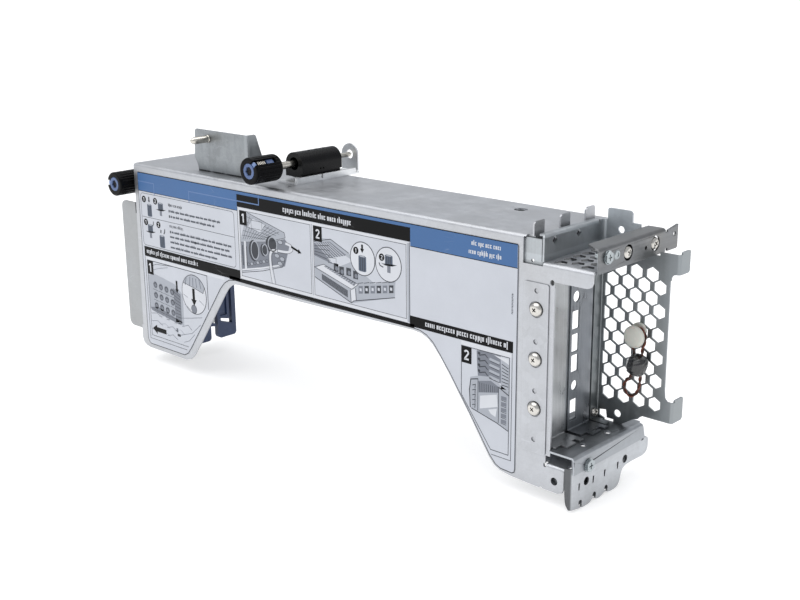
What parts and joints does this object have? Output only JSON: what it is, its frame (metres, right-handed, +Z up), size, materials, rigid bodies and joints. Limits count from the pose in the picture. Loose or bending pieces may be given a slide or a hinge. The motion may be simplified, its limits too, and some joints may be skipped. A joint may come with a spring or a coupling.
{
  "type": "riser cage bracket",
  "caption": "Folded steel cage for riser cards: long label panel with stepped legs, slotted end with covers, vented side panel, hook plate and black captive thumbscrews.",
  "frame": {"origin": "middle of the bounding box at its lowest level, under the hook plate's lobes", "axes": "+X along the cage to its slot end, +Y from the label face into its depth, +Z up"},
  "size_m": [0.3656, 0.0768, 0.1494],
  "materials": {
    "cage_steel": "galvanised sheet, satin with a fine spangle",
    "label_film": "printed film, satin",
    "bracket_steel": "galvanised sheet, satin",
    "frame_steel": "galvanised sheet, satin",
    "strip_steel": "zinc-plated sheet, satin",
    "cover_steel": "zinc-plated sheet, satin",
    "panel_steel": "zinc-plated sheet, darker satin",
    "channel_steel": "galvanised sheet, satin",
    "nickel_screw": "nickel plate, bright",
    "zinc_hardware": "bright zinc plate",
    "turned_steel": "turned, nickel plated",
    "black_nylon": "moulded, fine matte",
    "blue_plastic": "moulded, satin",
    "navy_plastic": "moulded, satin",
    "natural_nylon": "moulded, natural colour",
    "charcoal_plastic": "moulded, matte",
    "brown_wire": "insulated wire, satin"
  },
  "bodies": {
    "cage": {"cage_shell": "cage_steel", "instruction_label": "label_film", "left_end_bracket": "bracket_steel", "window_frame": "frame_steel", "front_strip": "strip_steel", "strip_screws": "nickel_screw", "slot_cover_plain": "cover_steel", "slot_cover_vented": "cover_steel", "hex_side_panel": "panel_steel", "side_panel_screw": "nickel_screw", "retention_rail": "frame_steel", "rail_nut_bar": "frame_steel", "rail_screws": "nickel_screw", "rail_rivet": "zinc_hardware", "rail_end_screw": "zinc_hardware", "hook_channel": "channel_steel", "hook_plate": "channel_steel", "hook_screw": "zinc_hardware", "guide_tab": "bracket_steel", "guide_pin": "turned_steel", "sleeve_bracket": "bracket_steel", "bracket_rivets": "zinc_hardware", "guide_sleeve": "black_nylon", "card_clip_front": "navy_plastic", "card_clip_rear": "navy_plastic", "nylon_button": "natural_nylon", "toggle_bead": "charcoal_plastic", "wire_loop": "brown_wire"},
    "left_thumbscrew": {"knob_a_barrel": "black_nylon", "knob_a_insert": "blue_plastic", "knob_a_shaft": "turned_steel", "knob_a_washer": "zinc_hardware"},
    "upper_thumbscrew": {"knob_b_barrel": "black_nylon", "knob_b_insert": "blue_plastic", "knob_b_shaft": "turned_steel", "knob_b_washer": "zinc_hardware"}
  },
  "joints": [
    {"name": "left_thumbscrew_turn", "type": "hinge", "parent": "cage", "child": "left_thumbscrew", "pos_m": [-0.17515, -0.01783, 0.1121], "axis": [0, -1, 0], "continuous": true},
    {"name": "upper_thumbscrew_turn", "type": "hinge", "parent": "cage", "child": "upper_thumbscrew", "pos_m": [-0.04345, -0.02082, 0.1352], "axis": [0, -1, 0], "continuous": true}
  ]
}
